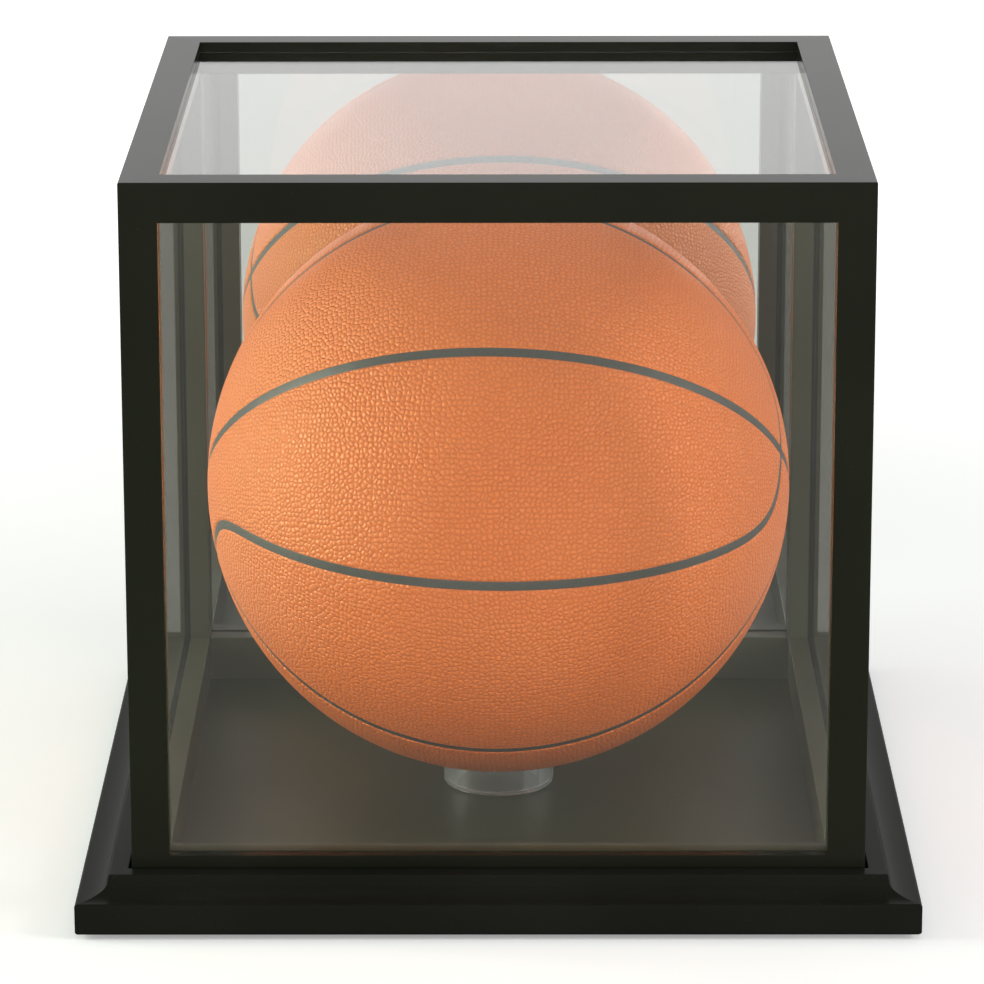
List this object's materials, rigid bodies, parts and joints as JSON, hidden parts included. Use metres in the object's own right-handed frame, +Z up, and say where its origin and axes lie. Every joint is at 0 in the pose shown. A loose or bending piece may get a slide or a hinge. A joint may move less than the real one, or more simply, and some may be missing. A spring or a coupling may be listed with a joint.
{
  "type": "basketball display case",
  "caption": "Glazed wooden display cover with a mirror back, standing in a moulded base and holding a leather ball on a clear ring.",
  "frame": {"origin": "on the ground under the middle of the base", "axes": "+Z up, -Y to the front pane, +X to the right seen from the front"},
  "size_m": [0.3284, 0.3284, 0.2961],
  "materials": {
    "black_lacquered_wood": "satin black lacquer",
    "black_lacquered_floor": "smooth black lacquer",
    "beech_dowel": "plain",
    "clear_glass": "clear float glass",
    "silvered_glass": "silvered at the back",
    "black_backing_board": "matt black hardboard",
    "black_felt": "felt",
    "blackened_steel": "blackened",
    "clear_acrylic": "polished clear",
    "dark_grey_rubber": "matt",
    "orange_leather": "pebbled",
    "black_valve_rubber": "matt"
  },
  "bodies": {
    "base": {"base_moulding_front": "black_lacquered_wood", "base_moulding_right": "black_lacquered_wood", "base_moulding_back": "black_lacquered_wood", "base_moulding_left": "black_lacquered_wood", "base_floor": "black_lacquered_floor", "floor_screw_front_1": "blackened_steel", "floor_screw_front_2": "blackened_steel", "floor_screw_right_1": "blackened_steel", "floor_screw_right_2": "blackened_steel", "floor_screw_back_1": "blackened_steel", "floor_screw_back_2": "blackened_steel", "floor_screw_left_1": "blackened_steel", "floor_screw_left_2": "blackened_steel", "felt_pad_front_left": "black_felt", "felt_pad_front_right": "black_felt", "felt_pad_back_right": "black_felt", "felt_pad_back_left": "black_felt", "ball_ring": "clear_acrylic"},
    "cover": {"bottom_rail_front": "black_lacquered_wood", "bottom_rail_right": "black_lacquered_wood", "bottom_rail_back": "black_lacquered_wood", "bottom_rail_left": "black_lacquered_wood", "top_rail_front": "black_lacquered_wood", "top_rail_right": "black_lacquered_wood", "top_rail_back": "black_lacquered_wood", "top_rail_left": "black_lacquered_wood", "post_front_left": "black_lacquered_wood", "post_front_right": "black_lacquered_wood", "post_back_right": "black_lacquered_wood", "post_back_left": "black_lacquered_wood", "dowel_lower_front_left": "beech_dowel", "dowel_lower_front_right": "beech_dowel", "dowel_lower_back_right": "beech_dowel", "dowel_lower_back_left": "beech_dowel", "dowel_upper_front_left": "beech_dowel", "dowel_upper_front_right": "beech_dowel", "dowel_upper_back_right": "beech_dowel", "dowel_upper_back_left": "beech_dowel", "pane_front": "clear_glass", "pane_left": "clear_glass", "pane_right": "clear_glass", "pane_top": "clear_glass", "mirror": "silvered_glass", "mirror_backing": "black_backing_board"},
    "ball": {"ball_carcass": "dark_grey_rubber", "ball_panel_1": "orange_leather", "ball_panel_2": "orange_leather", "ball_panel_3": "orange_leather", "ball_panel_4": "orange_leather", "ball_panel_5": "orange_leather", "ball_panel_6": "orange_leather", "ball_panel_7": "orange_leather", "ball_panel_8": "orange_leather", "ball_valve": "black_valve_rubber"}
  },
  "joints": [
    {"name": "cover_lift", "type": "slide", "parent": "base", "child": "cover", "axis": [0, 0, 1], "range_m": [0, 0.3]},
    {"name": "ball_turn", "type": "hinge", "parent": "base", "child": "ball", "pos_m": [0, 0, 0.13752], "axis": [0, 0, 1], "continuous": true}
  ]
}
